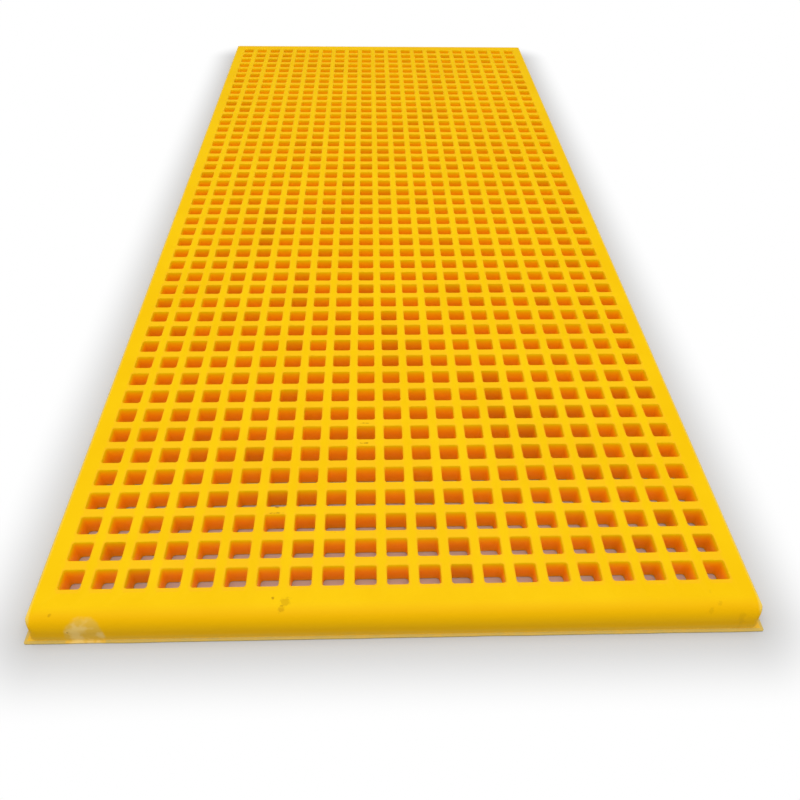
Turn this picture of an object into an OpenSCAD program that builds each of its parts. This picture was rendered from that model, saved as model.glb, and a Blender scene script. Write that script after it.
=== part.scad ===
// Cast polyurethane screen panel
//
// One flat, flexible mat with straight rows of square apertures. Each aperture
// widens towards the back, so that a stone that enters it falls through. Long webs
// run the length of the panel, and cross webs, set a little below them on both
// faces, part the channels between them into apertures. The two ends are rounded
// over to a nose, the long sides are eased, and the thin lip that an open mould
// leaves runs around the foot. The outer walls lean out towards the back, so that
// the casting draws out of that mould.
//
// Sizes are in millimetres. +X is across the panel, +Y is along it and +Z points
// out of the screening face. The origin lies under the middle of the back face.

/* [Apertures] */
// Clear width of a square aperture at the screening face
aperture_width = 30; // [15:1:60]
// Web between two apertures at the screening face
web_width = 15; // [12:1:30]
// How far each wall of an aperture leans out from the screening face to the back face
aperture_relief = 1.5; // [0.5:0.5:3]
// Apertures across the panel
aperture_columns = 21; // [2:1:30]
// Apertures along the panel
aperture_rows = 47; // [2:1:60]
// How far the cross webs lie below the long webs, on both faces
cross_web_setback = 0.5; // [0.2:0.1:3]

/* [Panel] */
// Thickness from the back face to the screening face
panel_thickness = 40; // [36:1:60]
// Solid land between the apertures and each long side, at the screening face
side_land = 30; // [20:1:80]
// Solid land between the apertures and each end, at the screening face
end_land = 51; // [40:1:120]
// How far the outer walls lean out from the screening face to the back face
draft = 4; // [1:0.5:5]
// Radius of the corners at the back face, seen from above
corner_radius = 14; // [8:1:18]

/* [Edges] */
// Radius of the nose across the two ends
nose_radius = 28; // [8:1:32]
// Radius along the two long sides
side_radius = 6; // [2:1:12]

/* [Lip] */
// How far the lip stands out from the foot
lip_width = 5; // [2:0.5:8]
// Thickness of the lip
lip_thickness = 2; // [1:0.5:4]
// Radius of the lip's corners, seen from above
lip_corner_radius = 3; // [1:0.5:6]

/* [Hidden] */

$fn = 64;

pitch = aperture_width + web_width;
field_width = aperture_columns * pitch - web_width;
field_length = aperture_rows * pitch - web_width;
face_width = field_width + 2 * side_land;
face_length = field_length + 2 * end_land;
back_width = face_width + 2 * draft;
back_length = face_length + 2 * draft;

// Lean of an aperture wall and of an outer wall, for each millimetre of depth
wall_lean = aperture_relief / panel_thickness;
outer_lean = draft / panel_thickness;
// How far a cutting shape runs past the face that it cuts
overrun = 2;

polyurethane = [0.98, 0.79, 0.04];

// Outline of a plate with round corners, centred
module rounded_outline(width, length, radius) {
    square([width - 2 * radius, length], center = true);
    square([width, length - 2 * radius], center = true);
    for (x = [-1, 1], y = [-1, 1])
        translate([x * (width / 2 - radius), y * (length / 2 - radius)])
            circle(r = radius);
}

// Section between two leaning walls, with its width given at the screening face.
// A lean above zero widens it towards the back, and one below zero narrows it.
module leaning_section(width, lean, bottom, top) {
    half_bottom = width / 2 + lean * (panel_thickness - bottom);
    half_top = width / 2 + lean * (panel_thickness - top);
    polygon([
        [-half_bottom, bottom],
        [half_bottom, bottom],
        [half_top, top],
        [-half_top, top]
    ]);
}

// Section between two outer walls, with its upper corners rounded. The span is
// that of its upper edge before the corners are rounded.
module rounded_section(span, radius) {
    lean_angle = atan(outer_lean);
    inset = radius * (1 - sin(lean_angle)) / cos(lean_angle);
    wall_top = panel_thickness - radius * (1 - sin(lean_angle));
    leaning_section(span, outer_lean, 0, wall_top);
    translate([-span / 2 + inset, 0])
        square([span - 2 * inset, panel_thickness]);
    for (side = [-1, 1])
        translate([side * (span / 2 - inset), panel_thickness - radius])
            circle(r = radius);
}

// Copies of a bar along Y, side by side on the aperture pitch
module bars_along_y(count, run) {
    for (i = [0 : count - 1])
        translate([(i - (count - 1) / 2) * pitch, 0, 0])
            rotate([90, 0, 0])
                linear_extrude(run, center = true)
                    children();
}

// Block with leaning walls, and a cone at each corner that narrows with them
module drafted_block() {
    rotate([90, 0, 90])
        linear_extrude(back_width - 2 * corner_radius, center = true)
            leaning_section(face_length, outer_lean, 0, panel_thickness);
    rotate([90, 0, 0])
        linear_extrude(back_length - 2 * corner_radius, center = true)
            leaning_section(face_width, outer_lean, 0, panel_thickness);
    for (x = [-1, 1], y = [-1, 1])
        translate([x * (back_width / 2 - corner_radius), y * (back_length / 2 - corner_radius), 0])
            cylinder(h = panel_thickness, r1 = corner_radius, r2 = corner_radius - draft);
}

// The casting before its apertures: nose section, side section and block in one
module blank() {
    intersection() {
        rotate([90, 0, 90])
            linear_extrude(back_width + 2 * overrun, center = true)
                rounded_section(face_length, nose_radius);
        rotate([90, 0, 0])
            linear_extrude(back_length + 2 * overrun, center = true)
                rounded_section(face_width, side_radius);
        drafted_block();
    }
}

// Thin lip around the foot, where the open mould was filled to its rim
module lip() {
    linear_extrude(lip_thickness)
        rounded_outline(back_width + 2 * lip_width, back_length + 2 * lip_width, lip_corner_radius);
}

// Channels along the panel, one for each column of apertures
module channels() {
    intersection() {
        bars_along_y(aperture_columns, face_length)
            leaning_section(aperture_width, wall_lean, -overrun, panel_thickness + overrun);
        rotate([90, 0, 90])
            linear_extrude(face_width, center = true)
                leaning_section(field_length, wall_lean, -overrun, panel_thickness + overrun);
    }
}

// Webs across the channels, let into the land at both sides
module cross_webs() {
    rotate([0, 0, 90])
        bars_along_y(aperture_rows - 1, field_width + side_land)
            leaning_section(web_width, -wall_lean, cross_web_setback, panel_thickness - cross_web_setback);
}

module screen_panel() {
    color(polyurethane) {
        difference() {
            union() {
                blank();
                lip();
            }
            channels();
        }
        cross_webs();
    }
}

screen_panel();
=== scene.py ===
"""Looks of a cast polyurethane screen panel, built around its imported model.

The panel is one casting, so it is one piece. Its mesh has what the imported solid
leaves out: round corners and eased edges on the apertures, a small fillet at the
foot and an uneven edge on the moulding lip. Lengths are in metres.
"""

import math

import bmesh
import bpy
from mathutils import Matrix, Vector, noise


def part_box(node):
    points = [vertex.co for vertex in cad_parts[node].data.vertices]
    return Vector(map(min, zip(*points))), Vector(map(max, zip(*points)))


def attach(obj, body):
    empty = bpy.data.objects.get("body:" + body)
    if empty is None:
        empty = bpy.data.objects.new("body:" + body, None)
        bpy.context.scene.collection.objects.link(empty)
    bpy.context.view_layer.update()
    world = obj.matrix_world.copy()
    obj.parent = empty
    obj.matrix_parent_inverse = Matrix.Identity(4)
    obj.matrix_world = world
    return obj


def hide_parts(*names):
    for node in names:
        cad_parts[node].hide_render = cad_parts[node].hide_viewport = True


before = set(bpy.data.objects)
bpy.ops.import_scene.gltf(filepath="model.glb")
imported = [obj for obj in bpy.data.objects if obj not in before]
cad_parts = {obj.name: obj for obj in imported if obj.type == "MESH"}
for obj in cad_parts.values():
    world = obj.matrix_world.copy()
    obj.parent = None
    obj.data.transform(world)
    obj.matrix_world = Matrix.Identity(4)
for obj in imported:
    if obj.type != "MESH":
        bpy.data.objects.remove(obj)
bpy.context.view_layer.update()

MM = 0.001

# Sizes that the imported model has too
APERTURE = 30 * MM
WEB = 15 * MM
RELIEF = 1.5 * MM
COLUMNS = 21
ROWS = 47
SETBACK = 0.5 * MM
DRAFT = 4 * MM
CORNER_RADIUS = 14 * MM
NOSE_RADIUS = 28 * MM
SIDE_RADIUS = 6 * MM
LIP_WIDTH = 5 * MM
LIP_THICKNESS = 2 * MM
LIP_CORNER_RADIUS = 3 * MM

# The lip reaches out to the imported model's box, and the walls stand inside it
LIP_HALF_WIDTH, LIP_HALF_LENGTH, PANEL_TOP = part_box("screen_panel")[1]
BACK_HALF_WIDTH = LIP_HALF_WIDTH - LIP_WIDTH
BACK_HALF_LENGTH = LIP_HALF_LENGTH - LIP_WIDTH
FACE_HALF_WIDTH = BACK_HALF_WIDTH - DRAFT
FACE_HALF_LENGTH = BACK_HALF_LENGTH - DRAFT

# The field of cells reaches to the middle of a web beyond the outermost apertures
PITCH = APERTURE + WEB
FIELD_HALF_WIDTH = COLUMNS * PITCH / 2
FIELD_HALF_LENGTH = ROWS * PITCH / 2

# Finer shapes that only this mesh has
APERTURE_CORNER = 3 * MM
EDGE_EASE = 1.5 * MM
FOOT_FILLET = 1.5 * MM
LIP_EDGE = 0.5 * MM
LIP_RAGGEDNESS = 1.0 * MM
RAGGED_SCALE = 24
RAGGED_SEED = 3.7

# Facets along a rounded edge and around a corner, and the angles of a small round
ROUND_STEPS = 10
CORNER_STEPS = 8
SMALL_ROUND = (0, 45, 90)

# Points this close together are one point: in one mesh, and where cells meet
SAME_POINT = 0.01 * MM
SAME_SEAM = 0.02 * MM

# Signs of the four corners, anticlockwise as seen from above
CORNERS = ((1, 1), (-1, 1), (-1, -1), (1, -1))


# Node maths

# Places of the colour sockets on a Mix node, and of the shaders on a Mix Shader
MIX_FIRST = 6
MIX_SECOND = 7
MIX_RESULT = 2
SHADER_FIRST = 1
SHADER_SECOND = 2


class Wire:
    """A value in a node tree, with plain arithmetic."""

    def __init__(self, graph, socket):
        self.graph = graph
        self.socket = socket

    def other(self, output):
        """Another output of the same node."""
        return Wire(self.graph, self.socket.node.outputs[output])

    def math(self, operation, *values):
        inputs = dict(enumerate((self, *values)))
        return self.graph.add("ShaderNodeMath", inputs, operation=operation)

    def __add__(self, value):
        return self.math("ADD", value)

    def __radd__(self, value):
        return self.math("ADD", value)

    def __sub__(self, value):
        return self.math("SUBTRACT", value)

    def __rsub__(self, value):
        return (self * -1.0) + value

    def __mul__(self, value):
        return self.math("MULTIPLY", value)

    def __rmul__(self, value):
        return self.math("MULTIPLY", value)

    def __truediv__(self, value):
        return self.math("DIVIDE", value)

    def __abs__(self):
        return self.math("ABSOLUTE")

    def root(self):
        return self.math("SQRT")

    def exponential(self):
        return self.math("EXPONENT")

    def whole(self):
        return self.math("ROUND")

    def most(self, value):
        return self.math("MAXIMUM", value)

    def ramp(self, start, end):
        """0 up to the start, 1 from the end on, and an eased slope between."""
        inputs = {"Value": self, "From Min": start, "From Max": end}
        return self.graph.add("ShaderNodeMapRange", inputs, interpolation_type="SMOOTHSTEP")


class Graph:
    """Nodes of a material, of the world or of a geometry tree."""

    def __init__(self, tree):
        tree.nodes.clear()
        self.tree = tree

    def add(self, kind, inputs=None, output=0, **settings):
        """A new node: first its settings, then the values or links of its sockets."""
        node = self.tree.nodes.new(kind)
        for name, value in settings.items():
            setattr(node, name, value)
        for name, value in (inputs or {}).items():
            if isinstance(value, Wire):
                self.tree.links.new(value.socket, node.inputs[name])
            else:
                node.inputs[name].default_value = value
        return Wire(self, node.outputs[output]) if node.outputs else None

    def noise(self, place, scale, detail=2.0):
        inputs = {"Vector": place, "Scale": scale, "Detail": detail}
        return self.add("ShaderNodeTexNoise", inputs)

    def point(self, x, y, z):
        return self.add("ShaderNodeCombineXYZ", {"X": x, "Y": y, "Z": z})

    def blend(self, share, first, second):
        """Colour that passes from the first to the second."""
        inputs = {"Factor": share, MIX_FIRST: first, MIX_SECOND: second}
        return self.add("ShaderNodeMix", inputs, output=MIX_RESULT, data_type="RGBA")

    def fade(self, share, first, second):
        """Shader that passes from the first to the second."""
        return self.add("ShaderNodeMixShader", {
            "Fac": share,
            SHADER_FIRST: first,
            SHADER_SECOND: second,
        })


def shader_graph(owner):
    """Empty nodes of a material or of the world."""
    owner.use_nodes = True
    return Graph(owner.node_tree)


# Mesh of the panel

def loft(bm, rings, outward, flat_bands):
    """Bands of quads between rings with the same number of points."""
    corners = [[bm.verts.new(point) for point in ring] for ring in rings]
    count = len(rings[0])
    for band in range(len(rings) - 1):
        first = corners[band]
        second = corners[band + 1]
        for index in range(count):
            after = (index + 1) % count
            quad = [first[index], first[after], second[after], second[index]]
            if outward:
                quad.reverse()
            face = bm.faces.new(quad)
            face.smooth = band not in flat_bands


def mesh_from(bm, name):
    """Object at the origin with the mesh, points that meet merged into one."""
    bmesh.ops.remove_doubles(bm, verts=bm.verts, dist=SAME_POINT)
    mesh = bpy.data.meshes.new(name)
    bm.to_mesh(mesh)
    bm.free()
    made = bpy.data.objects.new(name, mesh)
    bpy.context.scene.collection.objects.link(made)
    return made


def aperture_ring(half, corner, long_z, cross_z):
    """Rounded square, two facets to a corner. Its sides along the long webs lie at long_z."""
    points = []
    for quarter, (sign_x, sign_y) in enumerate(CORNERS):
        for share in (0.0, 0.5, 1.0):
            angle = math.radians(90) * (quarter + share)
            x = sign_x * (half - corner) + corner * math.cos(angle)
            y = sign_y * (half - corner) + corner * math.sin(angle)
            towards_cross = share if quarter % 2 == 0 else 1 - share
            points.append((x, y, long_z + (cross_z - long_z) * towards_cross))
    return points


def cell_border(long_z, cross_z):
    """Square border of a cell, in the middle of its webs, point for point with an aperture ring."""
    half = PITCH / 2
    straight = APERTURE / 2 - APERTURE_CORNER
    points = []
    for quarter, (sign_x, sign_y) in enumerate(CORNERS):
        run = [
            (sign_x * half, sign_y * straight, long_z),
            (sign_x * half, sign_y * half, long_z),
            (sign_x * straight, sign_y * half, cross_z),
        ]
        points += run if quarter % 2 == 0 else run[::-1]
    return points


def aperture_cell():
    """One aperture with half of each web around it."""
    half = APERTURE / 2
    cross_top = PANEL_TOP - SETBACK
    rings = [cell_border(PANEL_TOP, cross_top)]
    for turn in SMALL_ROUND:
        aside = EDGE_EASE * (1 - math.sin(math.radians(turn)))
        drop = EDGE_EASE * (1 - math.cos(math.radians(turn)))
        corner = APERTURE_CORNER + aside
        rings.append(aperture_ring(half + aside, corner, PANEL_TOP - drop, cross_top - drop))
    rings.append(aperture_ring(half + RELIEF, APERTURE_CORNER + RELIEF, 0.0, SETBACK))
    rings.append(cell_border(0.0, SETBACK))
    bm = bmesh.new()
    back_band = len(rings) - 2
    loft(bm, rings, outward=False, flat_bands=(0, back_band))
    return mesh_from(bm, "aperture_cell")


def stations(cells):
    """Places of the cells' border points along one side of the field, from -1 to 1."""
    straight = (APERTURE / 2 - APERTURE_CORNER) / PITCH
    places = []
    for cell in range(cells):
        middle = cell + 0.5
        places += [cell, middle - straight, middle + straight]
    places.append(cells)
    return [2 * place / cells - 1 for place in places]


def rim_ring(half_width, half_length, corner, side_z, end_z):
    """Ring around the panel. Heights pass from side_z to end_z around its corners."""
    straight_width = half_width - corner
    straight_length = half_length - corner
    points = []
    for quarter, (sign_x, sign_y) in enumerate(CORNERS):
        if quarter % 2 == 0:
            for place in stations(ROWS):
                points.append((sign_x * half_width, sign_x * place * straight_length, side_z))
        else:
            for place in stations(COLUMNS):
                points.append((-sign_y * place * straight_width, sign_y * half_length, end_z))
        for step in range(1, CORNER_STEPS):
            share = step / CORNER_STEPS
            angle = math.radians(90) * (quarter + share)
            towards_end = share if quarter % 2 == 0 else 1 - share
            x = sign_x * straight_width + corner * math.cos(angle)
            y = sign_y * straight_length + corner * math.sin(angle)
            points.append((x, y, side_z + (end_z - side_z) * towards_end))
    return points


def field_border(long_z, cross_z):
    """Ring along the outer borders of the outermost cells."""
    ring = rim_ring(FIELD_HALF_WIDTH, FIELD_HALF_LENGTH, 0.0, long_z, long_z)
    on_end = FIELD_HALF_LENGTH - SAME_POINT
    crossings = [place * FIELD_HALF_WIDTH for place in stations(COLUMNS)[::3]]
    points = []
    for x, y, z in ring:
        nearest = min(abs(x - crossing) for crossing in crossings)
        on_cross_web = abs(y) > on_end and nearest > SAME_POINT
        points.append((x, y, cross_z if on_cross_web else z))
    return points


def ragged(ring):
    """The ring with its points moved in and out a little, as a poured lip runs."""
    points = []
    for x, y, z in ring:
        wave = noise.noise(Vector((x * RAGGED_SCALE, y * RAGGED_SCALE, RAGGED_SEED)))
        inwards = LIP_RAGGEDNESS * (0.5 + 0.5 * wave)
        points.append((x - math.copysign(inwards, x), y - math.copysign(inwards, y), z))
    return points


def rounding(half, radius, share):
    """Half span and height on the rounded edge of a leaning wall, from the face (0) to the wall (1)."""
    lean = math.atan(DRAFT / PANEL_TOP)
    angle = (math.pi / 2 - lean) * share
    inset = radius * (1 - math.sin(lean)) / math.cos(lean)
    return half - inset + radius * math.sin(angle), PANEL_TOP - radius * (1 - math.cos(angle))


def edge_rings():
    """Rings down the rounded ends and sides, from the screening face to the walls."""
    rings = []
    for step in range(ROUND_STEPS + 1):
        half_width, side_z = rounding(FACE_HALF_WIDTH, SIDE_RADIUS, step / ROUND_STEPS)
        half_length, end_z = rounding(FACE_HALF_LENGTH, NOSE_RADIUS, step / ROUND_STEPS)
        corner = CORNER_RADIUS - DRAFT * end_z / PANEL_TOP
        rings.append(rim_ring(half_width, half_length, corner, side_z, end_z))
    return rings


def foot_rings():
    """Rings of the small fillet between the walls and the lip."""
    rings = []
    for turn in SMALL_ROUND:
        height = LIP_THICKNESS + FOOT_FILLET * (1 - math.sin(math.radians(turn)))
        aside = FOOT_FILLET * (1 - math.cos(math.radians(turn))) - DRAFT * height / PANEL_TOP
        half_width = BACK_HALF_WIDTH + aside
        half_length = BACK_HALF_LENGTH + aside
        rings.append(rim_ring(half_width, half_length, CORNER_RADIUS, height, height))
    return rings


def lip_rings():
    """Rings around the uneven edge of the lip, from its top to the back face."""
    rings = []
    for inset, height in ((LIP_EDGE, LIP_THICKNESS), (0.0, LIP_THICKNESS - LIP_EDGE), (0.0, 0.0)):
        half_width = LIP_HALF_WIDTH - inset
        half_length = LIP_HALF_LENGTH - inset
        rings.append(ragged(rim_ring(half_width, half_length, LIP_CORNER_RADIUS, height, height)))
    return rings


def rim():
    """Lands, rounded edges, walls and lip around the field, closed to it at the face and the back."""
    above_lip = [field_border(PANEL_TOP, PANEL_TOP - SETBACK)] + edge_rings() + foot_rings()
    rings = above_lip + lip_rings() + [field_border(0.0, SETBACK)]
    lip_top_band = len(above_lip) - 1
    back_band = len(rings) - 2
    bm = bmesh.new()
    loft(bm, rings, outward=True, flat_bands=(0, lip_top_band, back_band))
    return mesh_from(bm, "cast_panel")


def perforation_tree(material):
    """Geometry nodes that lay one aperture cell out over the field and join it to the rim."""
    tree = bpy.data.node_groups.new("perforated_field", "GeometryNodeTree")
    tree.interface.new_socket("Geometry", in_out="INPUT", socket_type="NodeSocketGeometry")
    sockets = {}
    for name, kind in (("Cell", "NodeSocketObject"), ("Columns", "NodeSocketInt"),
                       ("Rows", "NodeSocketInt"), ("Pitch", "NodeSocketFloat")):
        sockets[name] = tree.interface.new_socket(name, in_out="INPUT", socket_type=kind).identifier
    tree.interface.new_socket("Geometry", in_out="OUTPUT", socket_type="NodeSocketGeometry")

    graph = Graph(tree)
    bare_rim = graph.add("NodeGroupInput", output="Geometry")
    columns = bare_rim.other("Columns")
    rows = bare_rim.other("Rows")
    pitch = bare_rim.other("Pitch")
    grid = graph.add("GeometryNodeMeshGrid", {
        "Size X": (columns - 1.0) * pitch,
        "Size Y": (rows - 1.0) * pitch,
        "Vertices X": columns,
        "Vertices Y": rows,
    }, output="Mesh")
    cell = graph.add("GeometryNodeObjectInfo", {"Object": bare_rim.other("Cell")}, output="Geometry")
    laid = graph.add("GeometryNodeInstanceOnPoints", {"Points": grid, "Instance": cell})
    joined = graph.add("GeometryNodeJoinGeometry", {"Geometry": bare_rim})
    tree.links.new(laid.socket, joined.socket.node.inputs["Geometry"])
    real = graph.add("GeometryNodeRealizeInstances", {"Geometry": joined})
    merged = graph.add("GeometryNodeMergeByDistance", {"Geometry": real, "Distance": SAME_SEAM})
    painted = graph.add("GeometryNodeSetMaterial", {"Geometry": merged, "Material": material})
    graph.add("NodeGroupOutput", {"Geometry": painted})
    return tree, sockets


def cast_panel(material):
    """The whole panel as one closed mesh."""
    panel = rim()
    cell = aperture_cell()
    tree, sockets = perforation_tree(material)
    modifier = panel.modifiers.new("perforation", "NODES")
    modifier.node_group = tree
    modifier[sockets["Cell"]] = cell
    modifier[sockets["Columns"]] = COLUMNS
    modifier[sockets["Rows"]] = ROWS
    modifier[sockets["Pitch"]] = PITCH
    shaped = panel.evaluated_get(bpy.context.evaluated_depsgraph_get())
    mesh = bpy.data.meshes.new_from_object(shaped)
    panel.modifiers.clear()
    panel.data = mesh
    bpy.data.objects.remove(cell)
    return panel


# Polyurethane

def srgb(red, green, blue):
    """Linear colour of an sRGB colour with channels from 0 to 255."""
    linear = []
    for channel in (red, green, blue):
        value = channel / 255
        linear.append(value / 12.92 if value <= 0.04045 else ((value + 0.055) / 1.055) ** 2.4)
    return (*linear, 1.0)


# The cast colour on the flat, a warmer tone of painted shade where the edges turn down,
# and amber on the cross webs and as a painted highlight along the aperture edges
YELLOW = srgb(250, 199, 0)
LIGHT_YELLOW = srgb(253, 205, 4)
TURNED_SHADE_YELLOW = srgb(255, 194, 3)
WEB_AND_HIGHLIGHT_AMBER = srgb(255, 186, 34)

# Walls of the apertures, near the face and deep down, orange deep down as painted shade,
# with a painted glow for the light that soaks through
SHALLOW_WALL_LIGHT = srgb(252, 206, 4)
DEEP_WALL_SHADE = srgb(246, 160, 0)
SHALLOW_GLOW = (0.06, 0.14, 0.0, 1.0)
DEEP_GLOW = (0.225, 0.050, 0.0, 1.0)
NO_GLOW = (0.0, 0.0, 0.0, 1.0)
SHALLOW_REACH = 9 * MM

# A painted highlight on the long sides, then dust and dirt
SIDE_HIGHLIGHT_YELLOW = srgb(250, 222, 112)
DUST = srgb(206, 184, 106)
CRUST = srgb(242, 194, 72)
PALE_CRUST = srgb(252, 216, 128)
GRIT_BROWN = srgb(150, 84, 6)

# Half-round splash at the near end: its middle, half its width, and its height
SPLASH_X = -0.421
SPLASH_HALF_WIDTH = 0.027
SPLASH_HEIGHT = 0.036

# Grit on the near end: place across and along the panel, size, how many times wider
# than that it is, and strength. The last four are streaks on cross webs.
GRIT = (
    (-0.1705, -1.0690, 0.0026, 1.0, 0.60),
    (-0.1530, -1.0740, 0.0090, 1.0, 0.28),
    (-0.1585, -1.0850, 0.0055, 1.0, 0.30),
    (-0.4644, -1.0871, 0.0030, 1.0, 0.30),
    (0.4285, -1.0705, 0.0035, 1.0, 0.14),
    (0.4373, -1.0864, 0.0040, 1.0, 0.14),
    (0.4249, -1.0942, 0.0040, 1.0, 0.14),
    (0.4679, -1.1005, 0.0060, 1.0, 0.12),
    (-0.0467, -0.7890, 0.0020, 5.0, 0.70),
    (-0.0467, -0.7440, 0.0018, 5.0, 0.45),
    (-0.1800, -0.9275, 0.0016, 9.0, 0.50),
    (-0.1790, -0.9165, 0.0026, 2.0, 0.70),
)


class Spot:
    """Where a point lies on the panel and in its aperture cell, as shader values."""

    def __init__(self, graph):
        self.place = graph.add("ShaderNodeTexCoord", output="Object")
        self.x = graph.add("ShaderNodeSeparateXYZ", {"Vector": self.place})
        self.y = self.x.other("Y")
        self.z = self.x.other("Z")
        self.depth = PANEL_TOP - self.z
        self.past_side = abs(self.x) - (FACE_HALF_WIDTH - SIDE_RADIUS)
        self.past_end = abs(self.y) - (FACE_HALF_LENGTH - NOSE_RADIUS)
        self.column = (self.x / PITCH).whole()
        self.row = (self.y / PITCH).whole()
        self.across = abs(self.x - self.column * PITCH)
        self.along = abs(self.y - self.row * PITCH)
        in_width = abs(self.x).ramp(FIELD_HALF_WIDTH, FIELD_HALF_WIDTH - 2 * MM)
        in_length = abs(self.y).ramp(FIELD_HALF_LENGTH, FIELD_HALF_LENGTH - 2 * MM)
        self.in_field = in_width * in_length


def cast_colour(graph, spot):
    """Soft clouds in the cast colour, and a warmer tone of painted shade where the ends and sides turn
    down.
    """
    cloud = graph.noise(spot.place, scale=9.0, detail=3.0)
    colour = graph.blend(cloud.ramp(0.3, 0.7), YELLOW, LIGHT_YELLOW)
    # Painted shade: warmer and more orange where the ends and sides turn away from the light
    shade_over_end = spot.past_end.ramp(2 * MM, 20 * MM)
    shade_over_side = spot.past_side.ramp(1 * MM, 6 * MM)
    return graph.blend(shade_over_end.most(shade_over_side), colour, TURNED_SHADE_YELLOW)


def aperture_edges(graph, spot, colour):
    """Paler orange on the cross webs, and a painted highlight along the aperture edges."""
    on_face = spot.in_field * spot.depth.ramp(3 * MM, 1 * MM)
    cross_web = on_face * spot.across.ramp(APERTURE / 2 + 2 * MM, APERTURE / 2 - 2 * MM)
    # Painted highlight: a pale band along the aperture edges
    beyond = spot.across.most(spot.along) - APERTURE / 2
    edge_highlight = on_face * beyond.ramp(4 * MM, 0.5 * MM)
    return graph.blend(0.35 * cross_web.most(1.4 * edge_highlight), colour, WEB_AND_HIGHLIGHT_AMBER)


def aperture_walls(graph, spot, colour):
    """Colour and glow of the walls, which turn orange with depth as painted shade.

    The glow is painted light: an emission that stands in for light soaking through
    the webs, in each aperture by a share of its own.
    """
    on_wall = spot.in_field * spot.depth.ramp(0.4 * MM, 2.0 * MM) * spot.z.ramp(0.6 * MM, 3.0 * MM)
    # Painted shade: the wall colour turns from yellow to orange with depth; the glow is painted light
    shallow = (spot.depth / -SHALLOW_REACH).exponential()
    wall_shade = graph.blend(shallow, DEEP_WALL_SHADE, SHALLOW_WALL_LIGHT)
    wall_glow = graph.blend(shallow, DEEP_GLOW, SHALLOW_GLOW)
    cell = graph.point(spot.column, spot.row, 0.0)
    own_share = graph.add("ShaderNodeTexWhiteNoise", {"Vector": cell}, noise_dimensions="2D")
    patch = graph.noise(spot.place, scale=5.0)
    strength = on_wall * (0.4 + 0.4 * own_share + 0.8 * patch)
    return graph.blend(on_wall, colour, wall_shade), graph.blend(strength, NO_GLOW, wall_glow)


def painted_side_highlight(graph, spot, colour):
    """Painted highlight: pale along the rounded edges of the two long sides."""
    side_highlight_mask = spot.past_side.ramp(0.0, 4 * MM) * spot.z.ramp(26 * MM, 35 * MM)
    return graph.blend(0.6 * side_highlight_mask, colour, SIDE_HIGHLIGHT_YELLOW)


def foot_dust(graph, spot):
    """How much dust lies on the lip, and thinly over the foot of the walls."""
    outside = (abs(spot.x) - BACK_HALF_WIDTH).most(abs(spot.y) - BACK_HALF_LENGTH)
    on_lip = outside.ramp(-0.4 * MM, 1.0 * MM)
    at_foot = outside.ramp(-6 * MM, -2 * MM) * spot.z.ramp(14 * MM, 3 * MM)
    patchy = 0.55 + 0.5 * graph.noise(spot.place, scale=60.0, detail=3.0)
    return on_lip.most(0.35 * at_foot) * patchy


def dried_splash(graph, spot, colour):
    """A dried half-round splash at the foot of the near end."""
    across = abs(spot.x - SPLASH_X) / SPLASH_HALF_WIDTH
    up = spot.z / SPLASH_HEIGHT
    reach = across * across * across + up * up * up
    ragged_reach = reach + 0.5 * graph.noise(spot.place, scale=90.0, detail=3.0)
    on_near_end = spot.y.ramp(-FACE_HALF_LENGTH + 14 * MM, -FACE_HALF_LENGTH + 10 * MM)
    splash = ragged_reach.ramp(1.40, 0.95) * on_near_end
    pale = graph.noise(spot.place, scale=55.0).ramp(0.4, 0.6)
    return graph.blend(0.85 * splash, colour, graph.blend(pale, CRUST, PALE_CRUST))


def grit(graph, spot, colour):
    """Specks, smudges and streaks of grit at the near end, and a sparse scatter."""
    wander = graph.noise(spot.place, scale=240.0) - 0.5
    for at_x, at_y, size, stretch, strength in GRIT:
        away_x = (spot.x - at_x) / stretch
        away_y = spot.y - at_y
        away = (away_x * away_x + away_y * away_y).root() + 2.0 * size * wander
        colour = graph.blend(strength * away.ramp(size, 0.3 * size), colour, GRIT_BROWN)
    speck = graph.add("ShaderNodeTexVoronoi", {"Vector": spot.place, "Scale": 34.0})
    draw = graph.add("ShaderNodeSeparateXYZ", {"Vector": speck.other("Color")})
    scatter = 0.5 * draw.ramp(0.93, 0.94) * speck.ramp(0.05, 0.03)
    return graph.blend(scatter, colour, GRIT_BROWN)


def cast_bump(graph, spot):
    """Fine grain and a slow unevenness of the cast surface."""
    fine = graph.noise(spot.place, scale=900.0)
    uneven = graph.noise(spot.place, scale=45.0)
    return graph.add("ShaderNodeBump", {
        "Strength": 0.12,
        "Distance": 0.5 * MM,
        "Height": fine + 2.0 * uneven,
    })


def polyurethane():
    """Yellow cast polyurethane, with painted shade and a painted glow orange in the depth of its
    apertures, painted highlights along its edges, dusty at its foot.
    """
    material = bpy.data.materials.new("yellow_polyurethane")
    graph = shader_graph(material)
    spot = Spot(graph)
    colour = cast_colour(graph, spot)
    colour = aperture_edges(graph, spot, colour)
    colour, glow = aperture_walls(graph, spot, colour)
    # Painted highlight, pale along the rounded edges of the long sides
    colour = painted_side_highlight(graph, spot, colour)
    dusty = foot_dust(graph, spot)
    colour = graph.blend(dusty, colour, DUST)
    colour = dried_splash(graph, spot, colour)
    colour = grit(graph, spot, colour)
    worn = graph.noise(spot.place, scale=30.0, detail=3.0)
    surface = graph.add("ShaderNodeBsdfPrincipled", {
        "Base Color": colour,
        "Roughness": 0.40 + 0.12 * worn + 0.3 * dusty,
        "IOR": 1.48,
        "Specular IOR Level": 0.05,
        "Emission Color": glow,
        "Emission Strength": 1.0,
        "Normal": cast_bump(graph, spot),
    })
    graph.add("ShaderNodeOutputMaterial", {"Surface": surface})
    # The painted glow is weak and everywhere, so it isn't sampled as a lamp
    material.cycles.emission_sampling = "NONE"
    return material


# Studio

WHITE = (1.0, 1.0, 1.0, 1.0)
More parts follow.
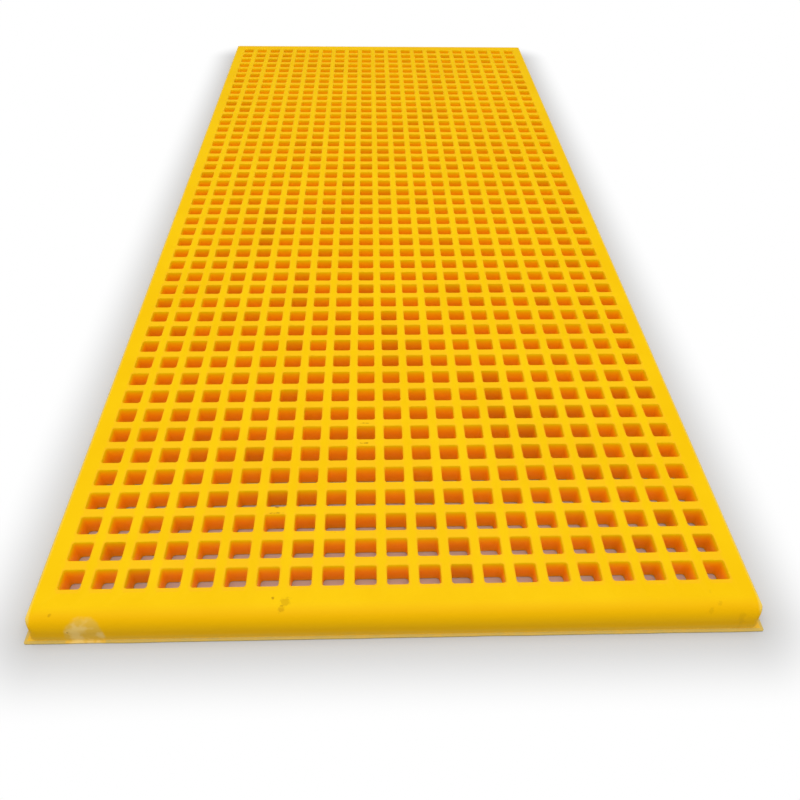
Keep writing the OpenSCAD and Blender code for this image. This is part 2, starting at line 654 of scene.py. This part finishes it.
# Grey of the floor near and under the panel, a painted shade around its outline
HALO_SHADE_GREY = (0.55, 0.55, 0.55, 1.0)
FLOOR_HALF = 14.0
# The floor lies a hair below the back face, so that the two don't share a plane
FLOOR_Z = -0.1 * MM
# Painted shade: the floor turns from grey to white from this far inside the lip's edge, over this
# distance
SHADE_START = 0.03
SHADE_REACH = 0.14

SKY_LIGHT = 0.24
SOFTBOX_WIDTH = 6.0
SOFTBOX_LENGTH = 8.0
SOFTBOX_WATTS = 315.0
SOFTBOX_PLACE = (0.0, -0.8, 5.0)

# The camera's turns are in degrees, its lens and sensor in millimetres
CAMERA_PLACE = (-0.0328, -1.5639, 0.9045)
CAMERA_HEADING = 2.27
CAMERA_TILT = 44.72
CAMERA_ROLL = -1.10
CAMERA_LENS = 31.78
CAMERA_SENSOR = 36.0
CAMERA_SHIFT_X = 0.009
CAMERA_SHIFT_Y = 0.001
NEAREST_SEEN = 0.05
FARTHEST_SEEN = 60.0


def studio_floor_material():
    """Floor that holds the panel's shadow, grey with painted shade near and under the panel, turning to
    a plain white backdrop around it.
    """
    material = bpy.data.materials.new("studio_floor")
    graph = shader_graph(material)
    shaded_near_floor = graph.add("ShaderNodeBsdfDiffuse", {"Color": HALO_SHADE_GREY})
    backdrop = graph.add("ShaderNodeEmission", {"Color": WHITE})
    place = graph.add("ShaderNodeTexCoord", output="Object")
    x = graph.add("ShaderNodeSeparateXYZ", {"Vector": place})
    away_x = (abs(x) - (LIP_HALF_WIDTH - SHADE_START)).most(0.0)
    away_y = (abs(x.other("Y")) - (LIP_HALF_LENGTH - SHADE_START)).most(0.0)
    away = (away_x * away_x + away_y * away_y).root()
    direct = graph.add("ShaderNodeLightPath", output="Is Camera Ray")
    seen = direct.most(direct.other("Is Glossy Ray")).most(direct.other("Is Transmission Ray"))
    # Painted shade: grey near the panel's outline, fading to the white backdrop further out
    surface = graph.fade(seen * away.ramp(0.0, SHADE_REACH), shaded_near_floor, backdrop)
    graph.add("ShaderNodeOutputMaterial", {"Surface": surface})
    return material


def studio_floor():
    """One wide square under the panel."""
    bm = bmesh.new()
    corners = [bm.verts.new((sx * FLOOR_HALF, sy * FLOOR_HALF, FLOOR_Z)) for sx, sy in CORNERS]
    bm.faces.new(corners)
    floor = mesh_from(bm, "studio_floor")
    floor.data.materials.append(studio_floor_material())
    return floor


def softbox():
    """A wide soft light overhead."""
    light = bpy.data.lights.new("softbox", "AREA")
    light.shape = "RECTANGLE"
    light.size = SOFTBOX_WIDTH
    light.size_y = SOFTBOX_LENGTH
    light.energy = SOFTBOX_WATTS
    lamp = bpy.data.objects.new("softbox", light)
    lamp.location = SOFTBOX_PLACE
    bpy.context.scene.collection.objects.link(lamp)


def sky():
    """A weak, even light from all sides that looks white to the camera."""
    world = bpy.data.worlds.new("studio")
    graph = shader_graph(world)
    seen = graph.add("ShaderNodeLightPath", output="Is Camera Ray")
    background = graph.add("ShaderNodeBackground", {
        "Color": WHITE,
        "Strength": SKY_LIGHT + (1.0 - SKY_LIGHT) * seen,
    })
    graph.add("ShaderNodeOutputWorld", {"Surface": background})
    bpy.context.scene.world = world


def camera():
    """Stands before the near end and looks down along the panel."""
    lens = bpy.data.cameras.new("camera")
    lens.sensor_width = CAMERA_SENSOR
    lens.lens = CAMERA_LENS
    lens.shift_x = CAMERA_SHIFT_X
    lens.shift_y = CAMERA_SHIFT_Y
    lens.clip_start = NEAREST_SEEN
    lens.clip_end = FARTHEST_SEEN
    stand = bpy.data.objects.new("camera", lens)
    heading = Matrix.Rotation(-math.radians(CAMERA_HEADING), 4, "Z")
    tilt = Matrix.Rotation(math.radians(90 - CAMERA_TILT), 4, "X")
    roll = Matrix.Rotation(-math.radians(CAMERA_ROLL), 4, "Z")
    stand.matrix_world = Matrix.Translation(CAMERA_PLACE) @ heading @ tilt @ roll
    bpy.context.scene.collection.objects.link(stand)
    bpy.context.scene.camera = stand


bpy.context.scene.view_settings.view_transform = "Standard"
panel = cast_panel(polyurethane())
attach(panel, "root")
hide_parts("screen_panel")
studio_floor()
softbox()
sky()
camera()
